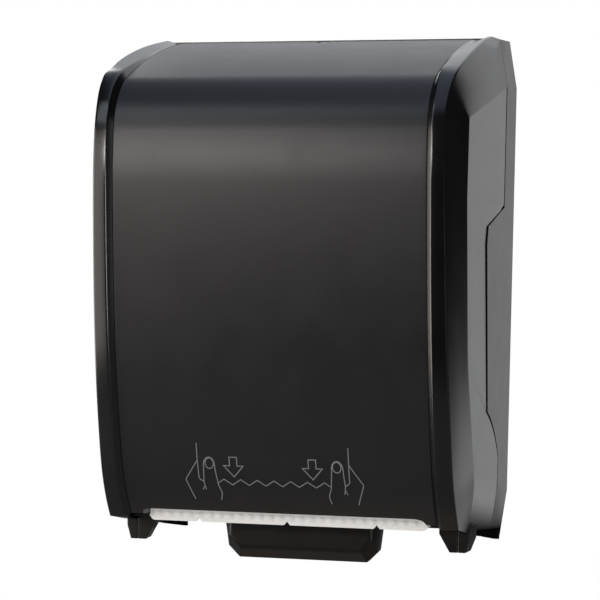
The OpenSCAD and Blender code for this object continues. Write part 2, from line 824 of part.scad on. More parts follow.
// Involute teeth: half the tooth's angle at radius r
pressure = 20;
addendum = 0.95;
dedendum = 1.25;
function involute(r, rb) = let (t = sqrt(max(0, pow(r / rb, 2) - 1))) t * 180 / PI - atan(t);
function tooth_half(r, n) =
    let (rp = gear_m * n / 2, rb = rp * cos(pressure))
    90 / n - backlash / 2 / rp * 180 / PI / 2 + involute(rp, rb) - involute(max(r, rb), rb);
function polar(r, a) = r * [cos(a), sin(a)];
function tooth(n, a) =
    let (rp = gear_m * n / 2, r0 = rp - dedendum * gear_m, r1 = rp + addendum * gear_m, k = 5)
    concat(
        [for (i = [0:k]) let (r = r0 + (r1 - r0) * i / k) polar(r, a - tooth_half(r, n))],
        [for (i = [k:-1:0]) let (r = r0 + (r1 - r0) * i / k) polar(r, a + tooth_half(r, n))]
    );
function flat_list(lists) = [for (l = lists) each l];

gear_x = 124;
gear_w = 6;
clutch_t = 1.6;
sector_step = 360 / sector_teeth;
sector_spare = 10;
sector_lead = ceil((lever_travel + sector_spare) / sector_step);
sector_tail = 2;
module sector_gear() color(nylon) yz(gear_x, gear_x + gear_w) translate(lever_p) difference() {
    union() {
        polygon(concat([[0, 0]], flat_list([for (i = [-sector_lead:sector_tail])
            tooth(sector_teeth, mesh_a + 180 + i * sector_step)])));
        circle(r = lever_boss_r);
    }
    circle(r = shaft_r + seat);
}

module drive_pinion() color(nylon) yz(gear_x, gear_x + gear_w) translate(feed_p) difference() {
    polygon(flat_list([for (i = [0:pinion_teeth - 1])
        tooth(pinion_teeth, mesh_a + (i + 0.5) * 360 / pinion_teeth)]));
    circle(r = shaft_r + clutch_t + seat);
}

clutch_x = plate_x + plate_t + fit;
module one_way_clutch() color(steel) difference() {
    bar(shaft_r + clutch_t, clutch_x, gear_x + gear_w + 2, feed_p);
    bar(shaft_r + run, clutch_x - 1, gear_x + gear_w + 3, feed_p);
}

// Spring arm on the lever shaft and the coil spring that draws it down to the base
arm_reach = 24;
spring_x = 84;
spring_arm_w = 8;
spring_arm_h = 8;
spring_arm_end = 7;
module spring_arm() color(grey) difference() {
    yz(spring_x - spring_arm_w / 2, spring_x + spring_arm_w / 2) translate(lever_p) {
        circle(r = lever_boss_r);
        translate([0, -spring_arm_h / 2]) square([arm_reach + spring_arm_end, spring_arm_h]);
    }
    bar(shaft_r + seat, -far, far, lever_p);
}

coil_r = 4.5;
wire_r = 0.7;
coil_turns = 8;
coil_rings = 8;
wire_sides = 6;
spring_z0 = base_z + fit;
spring_z1 = lever_p[1] - spring_arm_h / 2 - fit;
coil_z0 = spring_z0 + 2 * wire_r;
coil_z1 = spring_z1 - 2 * wire_r;
coil_n = coil_turns * coil_rings;
function coil_at(i) =
    let (a = 360 * i / coil_rings, z = coil_z0 + (coil_z1 - coil_z0) * i / coil_n)
    [coil_r * cos(a), coil_r * sin(a), z];
coil_path = concat(
    [[coil_r, 0, spring_z0]], [for (i = [0:coil_n]) coil_at(i)], [[coil_r, 0, spring_z1]]
);
function unit(v) = v / norm(v);
function path_step(i) = unit(coil_path[i + 1] - coil_path[i]);
function path_way(i) =
    i == 0 || i == len(coil_path) - 1 ? [0, 0, 1] : unit(path_step(i) + path_step(i - 1));
function wire_ring(i) =
    let (p = coil_path[i], t = path_way(i), out = unit([p[0], p[1], 0]), side = unit(cross(t, out)))
    let (up = cross(side, t))
    [for (k = [0:wire_sides - 1]) let (c = around(k, wire_sides)) p + wire_r * (c[0] * up + c[1] * side)];
apart = [for (i = [0:coil_n], j = [0:coil_n]) if (j - i >= 5) norm(coil_at(i) - coil_at(j))];
echo(least_spring_gap = min(apart) - 2 * wire_r);
module return_spring() color(steel) translate([spring_x, lever_p[0] + arm_reach, 0]) {
    rings = len(coil_path);
    polyhedron(
        points = flat_list([for (i = [0:rings - 1]) wire_ring(i)]),
        faces = concat(
            [for (i = [0:rings - 2], k = [0:wire_sides - 1])
                let (a = i * wire_sides, b = (k + 1) % wire_sides)
                [a + k, a + b, a + wire_sides + b]],
            [for (i = [0:rings - 2], k = [0:wire_sides - 1])
                let (a = i * wire_sides, b = (k + 1) % wire_sides)
                [a + k, a + wire_sides + b, a + wire_sides + k]],
            [[for (k = [wire_sides - 1:-1:0]) k]],
            [[for (k = [0:wire_sides - 1]) (rings - 1) * wire_sides + k]]
        )
    );
}

rear_housing();
strike_plate();
base_frame();
left_hinge_foot();
right_hinge_foot();
hinge_pins();
left_side_plate();
right_side_plate();
module_screws();
shaft_bushes();
pinch_bushes();
paper_chute();
tear_strip();
tear_blade();
left_roll_arm();
arm_bracket();
arm_pin();
arm_screws();
front_panel();
left_cheek();
right_cheek();
lock_housing();
lock_cylinder();
latch_cam();
lever_paddle();
lever_shaft();
sector_gear();
lever_bumpers();
drive_pinion();
one_way_clutch();
feed_shaft();
feed_rollers();
advance_wheel();
pinch_shaft();
pinch_rollers();
left_hub();
right_hub();
right_roll_arm();
spring_arm();
return_spring();
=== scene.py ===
# Wall-mounted roll towel dispenser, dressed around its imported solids, in metres
import math

import bmesh
import bpy
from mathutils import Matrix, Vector


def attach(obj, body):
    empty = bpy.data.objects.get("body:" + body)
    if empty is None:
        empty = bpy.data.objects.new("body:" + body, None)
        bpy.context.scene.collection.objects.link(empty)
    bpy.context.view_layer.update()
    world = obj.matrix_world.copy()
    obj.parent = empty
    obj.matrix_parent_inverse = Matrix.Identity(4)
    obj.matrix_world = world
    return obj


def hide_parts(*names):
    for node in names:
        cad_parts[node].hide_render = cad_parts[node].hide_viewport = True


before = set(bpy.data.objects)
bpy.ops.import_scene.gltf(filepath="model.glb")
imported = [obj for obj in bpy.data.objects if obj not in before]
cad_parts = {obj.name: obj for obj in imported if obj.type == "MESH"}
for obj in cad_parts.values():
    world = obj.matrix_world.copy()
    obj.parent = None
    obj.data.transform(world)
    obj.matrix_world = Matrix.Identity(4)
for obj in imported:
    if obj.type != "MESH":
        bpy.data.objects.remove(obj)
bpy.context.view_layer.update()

# Camera
# A long lens in front of the dispenser, a little to its right and slightly above it.
# It looks at the middle of the case.
lens_mm = 144
sensor_mm = 36
aim = Vector((-0.00087, -0.122, 0.0))
turn = math.radians(15.595)
rise = math.radians(3.392)
reach = 1.9819


def placed(name, data):
    made = bpy.data.objects.new(name, data)
    bpy.context.scene.collection.objects.link(made)
    return made


camera_data = bpy.data.cameras.new("camera")
camera_data.lens = lens_mm
camera_data.sensor_width = sensor_mm
camera = placed("camera", camera_data)
look_back = Vector((math.sin(turn) * math.cos(rise), -math.cos(turn) * math.cos(rise), math.sin(rise)))
camera.location = aim + reach * look_back
camera.rotation_euler = (math.radians(90) - rise, 0, turn)
bpy.context.scene.camera = camera
bpy.context.scene.view_settings.view_transform = "Standard"

# Studio
# A white room behind the dispenser, dim in front of it and beside it, with a pale floor well below.
# A warm strip lamp stands at the front left, a cool one hangs over the front, and two small ones stand
# at the right and behind. The edge lamps light only reflections, the bright lines along the rims.
room_white = (1.0, 1.0, 1.0, 1.0)
room_dim = (0.02, 0.02, 0.022, 1.0)
room_fill = (0.78, 0.78, 0.785, 1.0)
wall_grey = (0.66, 0.665, 0.67, 1.0)
upper_white = (0.95, 0.97, 1.02, 1.0)
ceiling_blue = (0.55, 0.62, 0.80, 1.0)
floor_shade = (0.19, 0.19, 0.193, 1.0)
back_start, back_full = 0.45, 0.7
aside_start, aside_full = 0.28, 0.45
wall_start, wall_full = -0.24, -0.165
upper_start, upper_full = 0.1, 0.4
ceiling_start, ceiling_full = 0.5, 0.8
below_start, below_full = -0.06, -0.2
floor_place = (0, -0.1, -0.8)
floor_r, floor_sides = 2.2, 96
floor_pale = (0.86, 0.86, 0.86, 1.0)
floor_speck = (0.9, 0.9, 0.9, 1.0)
speck_scale, speck_detail = 60.0, 3.0
floor_rough = 0.8
floor_far = (0.22, 0.22, 0.22, 1.0)
floor_near = (0.40, 0.33, 0.28, 1.0)
floor_near_r = 0.55
case_middle, case_front = (0, -0.2, 0.1), (0, -0.2, 0.0)
cool_white, plain_white = (0.84, 0.92, 1.0), (1.0, 1.0, 1.0)
side_white, warm_white = (0.96, 0.98, 1.0), (1.0, 0.95, 0.92)
warm_left, warm_right = (1.0, 0.95, 0.89), (1.0, 0.95, 0.90)
# Each lamp's name, place, aim, width and height, watts and colour, and whether it is an edge lamp
lamps = (
    ("overhead", (-0.85, -1.55, 1.25), case_middle, (1.0, 1.0), 6.3, cool_white, False),
    ("front_left", (-0.80, -2.3, 0.46), case_middle, (0.74, 0.22), 11.0, warm_white, False),
    ("rim_left", (-1.65, -1.6, 0.0), case_front, (1.5, 1.2), 14.0, warm_left, True),
    ("tall_left", (-2.3, -0.75, 0.0), case_front, (1.4, 1.3), 70.0, warm_left, True),
    ("edge_right", (1.55, -1.5, -0.1), case_front, (0.75, 0.6), 14.0, warm_right, True),
    ("side_right", (1.75, -0.3, 0.2), case_middle, (0.4, 0.9), 1.1, side_white, False),
    ("back_left", (-1.15, 1.55, 1.15), (-0.1, -0.1, 0.15), (0.5, 0.5), 3.0, plain_white, False),
)


def node(tree, kind, **sockets):
    made = tree.nodes.new(kind)
    for name, value in sockets.items():
        made.inputs[name.replace("_", " ")].default_value = value
    return made


def join(tree, source, target):
    tree.links.new(source, target)


def mix_colour(tree, share, first, second):
    made = tree.nodes.new("ShaderNodeMix")
    made.data_type = "RGBA"
    for socket, value in ((made.inputs[0], share), (made.inputs[6], first), (made.inputs[7], second)):
        if isinstance(value, bpy.types.NodeSocket):
            join(tree, value, socket)
        else:
            socket.default_value = value
    return made.outputs[2]


def ramp(tree, value, low=0.0, high=1.0, first=0.0, last=1.0, kind="LINEAR"):
    made = tree.nodes.new("ShaderNodeMapRange")
    made.interpolation_type = kind
    for name, number in (("From Min", low), ("From Max", high), ("To Min", first), ("To Max", last)):
        made.inputs[name].default_value = number
    join(tree, value, made.inputs["Value"])
    return made.outputs[0]


def soft_step(tree, value, low, high):
    return ramp(tree, value, low, high, kind="SMOOTHSTEP")


def point_on(tree, kind="Object"):
    return node(tree, "ShaderNodeTexCoord").outputs[kind]


def axes_of(tree, point):
    made = node(tree, "ShaderNodeSeparateXYZ")
    join(tree, point, made.inputs[0])
    return made.outputs


def reckon(tree, kind, value, other=0.0):
    made = tree.nodes.new("ShaderNodeMath")
    made.operation = kind
    made.inputs[1].default_value = other
    join(tree, value, made.inputs[0])
    return made.outputs[0]


def measure(tree, kind, point, other=(0.0, 0.0, 0.0)):
    made = tree.nodes.new("ShaderNodeVectorMath")
    made.operation = kind
    made.inputs[1].default_value = other
    join(tree, point, made.inputs[0])
    return made.outputs["Value"]


def new_paint(name):
    made = bpy.data.materials.new(name)
    made.use_nodes = True
    return made, made.node_tree, made.node_tree.nodes["Principled BSDF"]


def mesh_from(grid, name, smooth=True):
    for face in grid.faces:
        face.smooth = smooth
    mesh = bpy.data.meshes.new(name)
    grid.to_mesh(mesh)
    grid.free()
    return mesh


def light_room():
    world = bpy.data.worlds.new("studio")
    world.use_nodes = True
    tree = world.node_tree
    path = node(tree, "ShaderNodeLightPath")
    axes = axes_of(tree, point_on(tree, "Generated"))
    behind = soft_step(tree, axes["Y"], back_start, back_full)
    aside = soft_step(tree, reckon(tree, "ABSOLUTE", axes["X"]), aside_start, aside_full)
    rooted = soft_step(tree, axes["Z"], wall_start, wall_full)
    upper = soft_step(tree, axes["Z"], upper_start, upper_full)
    overhead = soft_step(tree, axes["Z"], ceiling_start, ceiling_full)
    below = soft_step(tree, axes["Z"], below_start, below_full)
    wall = mix_colour(tree, rooted, room_dim, mix_colour(tree, upper, wall_grey, upper_white))
    dark_front = mix_colour(tree, overhead, room_dim, ceiling_blue)
    dark_side = mix_colour(tree, below, room_dim, floor_shade)
    mirrored = mix_colour(tree, aside, mix_colour(tree, behind, dark_front, wall), dark_side)
    lit = mix_colour(tree, path.outputs["Is Glossy Ray"], room_fill, mirrored)
    through = mix_colour(tree, path.outputs["Is Transmission Ray"], lit, room_white)
    seen = mix_colour(tree, path.outputs["Is Camera Ray"], through, room_white)
    join(tree, seen, tree.nodes["Background"].inputs["Color"])
    bpy.context.scene.world = world


def lay_floor():
    grid = bmesh.new()
    bmesh.ops.create_circle(grid, cap_ends=True, segments=floor_sides, radius=floor_r)
    made = placed("floor", mesh_from(grid, "floor", smooth=False))
    made.location = floor_place
    paint, tree, shade = new_paint("floor_pale")
    speck = node(tree, "ShaderNodeTexNoise", Scale=speck_scale, Detail=speck_detail)
    tone = mix_colour(tree, speck.outputs["Fac"], floor_pale, floor_speck)
    path = node(tree, "ShaderNodeLightPath")
    away = soft_step(tree, measure(tree, "LENGTH", point_on(tree)), floor_near_r / 2, floor_near_r)
    mirrored = mix_colour(tree, away, floor_near, floor_far)
    tone = mix_colour(tree, path.outputs["Is Glossy Ray"], tone, mirrored)
    join(tree, tone, shade.inputs["Base Color"])
    shade.inputs["Roughness"].default_value = floor_rough
    made.data.materials.append(paint)


def softbox(name, place, target, size, watts, colour, edges_only):
    lamp = bpy.data.lights.new(name, "AREA")
    lamp.shape = "RECTANGLE"
    lamp.size, lamp.size_y = size
    lamp.energy = watts
    lamp.color = colour
    made = placed(name, lamp)
    made.location = place
    made.rotation_euler = (Vector(target) - Vector(place)).to_track_quat("-Z", "Y").to_euler()
    made.visible_diffuse = not edges_only


light_room()
lay_floor()
for lamp in lamps:
    softbox(*lamp)

# Rear housing
# The tray that hangs on the wall, moulded in black plastic with a fine satin grain.
# Four screws go through its back plate, and its wings show at the sides behind the cover.
mm = 0.001
case_black = (0.0020, 0.0020, 0.0023, 1.0)
case_scuff = (0.0034, 0.0034, 0.0037, 1.0)
cloud_scale, cloud_detail, cloud_rough = 34.0, 5.0, 0.6
cloud_low, cloud_high = 0.35, 0.75
gloss_less, gloss_more = 0.03, 0.05
grain_depth, grain_detail = 0.0002, 2.0
# Painted shade along the lower rear edge: its slant, where it is full and where it ends, and how far back
# it reaches
heel_lean = 0.13
heel_shade_deep, heel_shade_end = -0.202, -0.174
heel_front, heel_back = -0.175, -0.14
seam_gap = 0.000002
housing_shine = 0.42
housing_edge, housing_edge_deg = 1.3, 20
floor_cut_half, floor_cut_top = 0.139, -0.194
floor_cut_deep, floor_cut_tall = 0.2, 0.1


def noise(tree, point, scale, detail, rough=0.5):
    made = node(tree, "ShaderNodeTexNoise", Scale=scale, Detail=detail, Roughness=rough)
    join(tree, point, made.inputs["Vector"])
    return made.outputs["Fac"]


def moulded(name, colour, worn, rough, grain=0.035, grain_scale=1500.0, shine=0.5):
    # Moulded plastic: clouds of wear in its colour and gloss, and a fine pebble grain
    made, tree, shade = new_paint(name)
    point = point_on(tree)
    cloud = noise(tree, point, cloud_scale, cloud_detail, cloud_rough)
    patch = ramp(tree, cloud, cloud_low, cloud_high)
    join(tree, mix_colour(tree, patch, colour, worn), shade.inputs["Base Color"])
    gloss = ramp(tree, cloud, first=rough - gloss_less, last=rough + gloss_more)
    join(tree, gloss, shade.inputs["Roughness"])
    bump = node(tree, "ShaderNodeBump", Strength=grain, Distance=grain_depth)
    join(tree, noise(tree, point, grain_scale, grain_detail), bump.inputs["Height"])
    join(tree, bump.outputs[0], shade.inputs["Normal"])
    shade.inputs["Specular IOR Level"].default_value = shine
    return made


def heel_shade_fade(paint, shine):
    # Painted shade: the gloss is taken away towards the lower rear edge, so that the black plastic fades to
    # black there in place of the dark reflections it would show
    tree = paint.node_tree
    shade = tree.nodes["Principled BSDF"]
    point = point_on(tree)
    height = measure(tree, "DOT_PRODUCT", point, (0.0, heel_lean, 1.0))
    glossy = soft_step(tree, height, heel_shade_deep, heel_shade_end)
    behind = soft_step(tree, axes_of(tree, point)["Y"], heel_front, heel_back)
    full = (shine, shine, shine, 1.0)
    fading = mix_colour(tree, glossy, (0.0, 0.0, 0.0, 1.0), full)
    join(tree, mix_colour(tree, behind, full, fading), shade.inputs["Specular IOR Level"])


def round_edges(part, edge_mm, smooth_deg=30, segments=2):
    edge = part.modifiers.new("edges", "BEVEL")
    edge.width = edge_mm * mm
    edge.segments = segments
    edge.limit_method = "ANGLE"
    edge.angle_limit = math.radians(smooth_deg)
    edge.use_clamp_overlap = True
    flat = part.modifiers.new("faces", "WEIGHTED_NORMAL")
    flat.keep_sharp = False


def repaint(part, paint):
    part.data.materials.clear()
    part.data.materials.append(paint)
    for face in part.data.polygons:
        face.use_smooth = True
    seams = part.modifiers.new("seams", "WELD")
    seams.merge_threshold = seam_gap


def dress(name, paint, edge_mm=0.4, smooth_deg=30, segments=2):
    # A node that keeps its own mesh: new finish, joined seams and slightly rounded edges
    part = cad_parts[name]
    repaint(part, paint)
    if edge_mm:
        round_edges(part, edge_mm, smooth_deg, segments)


def cut_away(piece, knife):
    # Cut for good, so that the new edges can be rounded after it
    cut = piece.modifiers.new("opening", "BOOLEAN")
    cut.object = knife
    cut.operation = "DIFFERENCE"
    bpy.context.view_layer.update()
    solid = bpy.data.meshes.new_from_object(piece.evaluated_get(bpy.context.evaluated_depsgraph_get()))
    piece.modifiers.clear()
    piece.data = solid
    bpy.data.objects.remove(knife)


def open_floor(piece):
    # The middle of the floor is open: a box is cut away from below
    grid = bmesh.new()
    bmesh.ops.create_cube(grid, size=1.0)
    middle_z = floor_cut_top - floor_cut_tall / 2
    for corner in grid.verts:
        x, y, z = corner.co
        corner.co = Vector((2 * floor_cut_half * x, floor_cut_deep * y, middle_z + floor_cut_tall * z))
    cut_away(piece, placed("knife", mesh_from(grid, "knife", smooth=False)))


housing_paint = moulded("housing_black", case_black, case_scuff, rough=0.27, shine=housing_shine)
# Painted shade along the housing's lower rear edge
heel_shade_fade(housing_paint, housing_shine)
housing = placed("housing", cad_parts["rear_housing"].data.copy())
repaint(housing, housing_paint)
open_floor(housing)
round_edges(housing, housing_edge, housing_edge_deg, segments=3)
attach(housing, "chassis")
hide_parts("rear_housing")

# Strike plate
# A bent plate of bright steel, fixed under the roof of the housing.
# The cam of the lock hooks behind it when the cover is shut.
steel_grey = (0.60, 0.60, 0.61, 1.0)
streak_scale = (40.0, 900.0, 900.0)
streak_detail = 4.0
streak_tint = 0.86


def metal(name, colour, rough, brush=0.25):
    # Brushed metal: long streaks in its colour and gloss
    made, tree, shade = new_paint(name)
    stretch = node(tree, "ShaderNodeMapping")
    stretch.inputs["Scale"].default_value = streak_scale
    join(tree, point_on(tree), stretch.inputs["Vector"])
    streak = noise(tree, stretch.outputs[0], 1.0, streak_detail)
    tint = tuple(streak_tint * c for c in colour[:3]) + (1.0,)
    join(tree, mix_colour(tree, streak, colour, tint), shade.inputs["Base Color"])
    join(tree, ramp(tree, streak, first=rough, last=rough + brush), shade.inputs["Roughness"])
    shade.inputs["Metallic"].default_value = 1.0
    return made


bright_steel = metal("bright_steel", steel_grey, rough=0.2)
steel_edge = 0.3
dress("strike_plate", bright_steel, steel_edge)

# Base frame and hinge feet
# A black moulded floor that carries the feed module, with two tapered feet under its corners.
# Steel pins through the feet are the hinge of the cover.
frame_black = (0.0034, 0.0026, 0.0021, 1.0)
frame_worn = (0.0056, 0.0044, 0.0036, 1.0)
frame_edge = 0.5
frame_paint = moulded("frame_black", frame_black, frame_worn, rough=0.34, shine=0.3)
dress("base_frame", frame_paint, frame_edge)
for piece in ("left_hinge_foot", "right_hinge_foot"):
    dress(piece, frame_paint, frame_edge, segments=3)
dress("hinge_pins", bright_steel, steel_edge)

# Feed module
# Two grey side plates stand on the base and carry the rollers in nylon bushes.
# Rubber rollers drive the towel past a chute and a pinch roller, and nylon gears drive them.
plate_grey = (0.115, 0.12, 0.125, 1.0)
plate_worn = (0.15, 0.155, 0.16, 1.0)
nylon_cream = (0.72, 0.70, 0.62, 1.0)
nylon_worn = (0.64, 0.61, 0.52, 1.0)
rubber_black = (0.015, 0.015, 0.015, 1.0)
rubber_worn = (0.028, 0.027, 0.026, 1.0)
plate_paint = moulded("plate_grey", plate_grey, plate_worn, rough=0.42)
nylon_paint = moulded("nylon_cream", nylon_cream, nylon_worn, rough=0.38, grain=0.02)
rubber_paint = moulded("rubber_black", rubber_black, rubber_worn, rough=0.68, grain=0.2, grain_scale=1100.0,
                       shine=0.3)
plate_edge, rubber_edge, tooth_edge = 0.4, 0.6, 0.12
for piece in ("left_side_plate", "right_side_plate", "advance_wheel", "spring_arm"):
    dress(piece, plate_paint, plate_edge)
for piece in ("shaft_bushes", "pinch_bushes", "pinch_rollers"):
    dress(piece, nylon_paint, plate_edge)
for piece in ("module_screws", "feed_shaft", "pinch_shaft", "lever_shaft", "one_way_clutch"):
    dress(piece, bright_steel, steel_edge)
for piece in ("feed_rollers", "lever_bumpers"):
    dress(piece, rubber_paint, rubber_edge)
for piece in ("sector_gear", "drive_pinion"):
    dress(piece, nylon_paint, tooth_edge, smooth_deg=40, segments=1)
for piece in ("return_spring", "tear_blade"):
    dress(piece, bright_steel, edge_mm=0)
dress("paper_chute", frame_paint, plate_edge)

# Roll holder
# A fixed arm on the left and a hinged, sprung arm on the right, moulded in grey plastic.
# Each carries a black turning hub, and a steel pin and screws hold the right arm's bracket.
arm_edge = 0.6
for piece in ("left_roll_arm", "right_roll_arm", "arm_bracket"):
    dress(piece, plate_paint, arm_edge)
for piece in ("left_hub", "right_hub"):
    dress(piece, frame_paint, arm_edge)
for piece in ("arm_pin", "arm_screws"):
    dress(piece, bright_steel, steel_edge)

# Tear strip
# A white moulded strip, fixed to the front edge of the base, with a steel saw blade behind it.
# A row of small square pads stands on its face, and its lower edge has three nicks.
strip_white = (0.88, 0.855, 0.82, 1.0)
strip_worn = (0.85, 0.82, 0.78, 1.0)
# The grey of the painted shade on the pads
pad_shade_grey = (0.74, 0.725, 0.70, 1.0)
strip_half, strip_low, strip_high = 117.0, -181.0, -166.6
strip_front, strip_back = -165.0, -161.0
strip_corner = 4.0
strip_columns, strip_rows = 468, 12
strip_edge, strip_edge_deg = 0.3, 50
pad_pitch, pad_w, pad_h, pad_rise = 8.6, 4.4, 4.4, 0.45
pad_z = -175.6
pad_square = 4
pad_border = 1.0
nick_at, nick_w, nick_h = (-75.0, 0.0, 75.0), 2.6, 3.4


def shade_pads(paint):
    # Painted shade: the pads are painted a darker grey than the strip between them, with soft borders, in
    # place of the shade of their low relief
    tree = paint.node_tree
    shade = tree.nodes["Principled BSDF"]
    white = shade.inputs["Base Color"].links[0].from_socket
    axes = axes_of(tree, point_on(tree))
    wave = reckon(tree, "PINGPONG", axes["X"], pad_pitch / 2 * mm)
    edge = (pad_pitch - pad_w) / 2
    foot = pad_z - pad_h / 2
    head = pad_z + pad_h / 2
    in_column = soft_step(tree, wave, (edge - pad_border) * mm, (edge + pad_border) * mm)
    over_foot = soft_step(tree, axes["Z"], (foot - pad_border) * mm, (foot + pad_border) * mm)
    under_head = soft_step(tree, axes["Z"], (head + pad_border) * mm, (head - pad_border) * mm)
    tone = mix_colour(tree, under_head, white, pad_shade_grey)
    tone = mix_colour(tree, over_foot, white, tone)
    join(tree, mix_colour(tree, in_column, white, tone), shade.inputs["Base Color"])


def strip_mesh():
    # A fine grid over the front, raised in a row of soft square pads and nicked along its lower edge
    grid = bmesh.new()
    spots = []
    for i in range(strip_columns + 1):
        x = -strip_half + 2 * strip_half * i / strip_columns
        past = max(0.0, strip_corner - (strip_half - abs(x)))
        inset = strip_corner - math.sqrt(max(0.0, strip_corner ** 2 - past ** 2))
        nick = max((1 - abs(x - at) / nick_w) * nick_h for at in nick_at)
        low = strip_low + max(inset, nick, 0.0)
        phase = (x / pad_pitch) % 1.0 - 0.5
        across = max(0.0, 1 - abs(2 * phase * pad_pitch / pad_w) ** pad_square)
        column = []
        for j in range(strip_rows + 1):
            z = low + (strip_high - low) * j / strip_rows
            along = max(0.0, 1 - abs(2 * (z - pad_z) / pad_h) ** pad_square)
            column.append(grid.verts.new(Vector((x, strip_front - pad_rise * across * along, z)) * mm))
        spots.append(column)
    for one, two in zip(spots, spots[1:]):
        for j in range(strip_rows):
            grid.faces.new([one[j], two[j], two[j + 1], one[j + 1]])
    return mesh_from(grid, "strip")


strip_paint = moulded("strip_white", strip_white, strip_worn, rough=0.42, grain=0.02)
# Painted shade on the pads
shade_pads(strip_paint)
strip = placed("strip", strip_mesh())
strip.data.materials.append(strip_paint)
strip_skin = strip.modifiers.new("wall", "SOLIDIFY")
strip_skin.thickness = (strip_back - strip_front) * mm
strip_skin.offset = -1
round_edges(strip, strip_edge, strip_edge_deg)
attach(strip, "chassis")
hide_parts("tear_strip")

# Lever
# A black moulded paddle under the middle, with a wide rounded edge about its front face.
# Its two arms are keyed to the steel cross shaft.
lever_black = (0.0026, 0.0019, 0.0014, 1.0)
lever_worn = (0.0042, 0.0032, 0.0024, 1.0)
paddle_front = -0.1258
paddle_seam_gap = 0.00025
paddle_flat_deg, paddle_crease_deg = 2, 10
crease_round, crease_steps = 0.0028, 5
paddle_edge, paddle_edge_deg = 0.5, 25


def soft_paddle():
    # The edge round the front face is rounded wide, and all other edges only a little
    grid = bmesh.new()
    grid.from_mesh(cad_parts["lever_paddle"].data)
    bmesh.ops.remove_doubles(grid, verts=grid.verts[:], dist=paddle_seam_gap)
    bmesh.ops.dissolve_limit(grid, angle_limit=math.radians(paddle_flat_deg), verts=grid.verts[:],
                             edges=grid.edges[:])
    front = [edge for edge in grid.edges if all(end.co.y < paddle_front for end in edge.verts)]
    rim = [edge for edge in front if edge.calc_face_angle(0) > math.radians(paddle_crease_deg)]
    bmesh.ops.bevel(grid, geom=rim, offset=crease_round, segments=crease_steps, profile=0.5, affect="EDGES")
    return mesh_from(grid, "paddle")


lever_paint = moulded("lever_black", lever_black, lever_worn, rough=0.36, shine=0.3)
paddle = placed("paddle", soft_paddle())
paddle.data.materials.append(lever_paint)
round_edges(paddle, paddle_edge, paddle_edge_deg)
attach(paddle, "lever")
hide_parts("lever_paddle")

# Front panel
# A satin black moulded sheet, bent over the roof, with a mouth cut in its foot for the towel.
# It is set below the rims and is held by ledges on the cheeks.
panel_black = (0.0046, 0.0041, 0.0048, 1.0)
panel_sparkle = (0.0055, 0.0050, 0.0057, 1.0)
chin_c = Vector((-73.674, -95.243))
# Each bend of the front, from its foot up: first and last angle, radius and steps
front_bends = (
    (-36.2, -12.4, 138.0, 12),
    (-12.4, -3.0, 750.0, 12),
    (-3.0, 0.0, 1930.0, 8),
    (0.0, 8.0, 300.0, 6),
    (8.0, 13.0, 90.0, 3),
)
corner_start, corner_r = 13.0, 56.0
corner_steps, roof_steps = 22, 14
front_steps = sum(bend[3] for bend in front_bends)
recess = 5.0
panel_bow_deg, panel_bow_r = 69.8, 600.0
rear_edge = -43.4
panel_half = 128.3
panel_t = 3.0
panel_edge_mm = 0.6
panel_spans = 8
mouth_half = 120.0
mouth_top = -169.0
mouth_clear = 0.5
mouth_r = 8.0
leg_insets = [0.0, 4.0, 8.0, 12.0]
leg_steps = 8
lock_hole_r = 6.05
lock_tilt_deg = 12.397
lock_hole = (lock_hole_r, (0.0, -51.702, 214.175), math.radians(lock_tilt_deg))
drill_sides, drill_len = 48, 0.03


def facing(angle):
    return Vector((-math.cos(math.radians(angle)), math.sin(math.radians(angle))))


def next_centre(centre, radius, angle, new_radius):
    # Two arcs that touch at an angle have their centres on one line
    return centre + (radius - new_radius) * facing(angle)


corner_c = chin_c
next_radii = [bend[2] for bend in front_bends[1:]] + [corner_r]
for bend, next_r in zip(front_bends, next_radii):
    corner_c = next_centre(corner_c, bend[2], bend[1], next_r)


def arc_points(centre, radius, first, last, steps):
    return [centre + radius * facing(first + (last - first) * i / steps) for i in range(steps + 1)]


def front_outline(inset):
    centre = chin_c
    points = []
    last_r = front_bends[0][2]
    for first, last, radius, steps in front_bends:
        centre = next_centre(centre, last_r, first, radius)
        points += arc_points(centre, radius - inset, first, last, steps)[1 if points else 0:]
        last_r = radius
    return points


def over_roof(inset, leave_deg, bow_r):
    # An outline up the front, round the corner and over the roof on a wide bow
    radius = corner_r - inset
    bow_c = next_centre(corner_c, radius, leave_deg, bow_r)
    bow_end = math.degrees(math.acos((bow_c.x - rear_edge) / bow_r))
    points = front_outline(inset)
    points += arc_points(corner_c, radius, corner_start, leave_deg, corner_steps)[1:]
    points += arc_points(bow_c, bow_r, leave_deg, bow_end, roof_steps)[1:]
    return points


def panel_outline(inset=recess):
    return over_roof(inset, panel_bow_deg, panel_bow_r + recess - inset)


def cut_hole(piece, hole):
    # A round hole through a sheet
    radius, place, tilt = hole
    grid = bmesh.new()
    bmesh.ops.create_cone(grid, cap_ends=True, segments=drill_sides, radius1=radius * mm,
                          radius2=radius * mm, depth=drill_len)
    drill = placed("drill", mesh_from(grid, "drill", smooth=False))
    drill.location = Vector(place) * mm
    drill.rotation_euler = (tilt, 0, 0)
    cut_away(piece, drill)


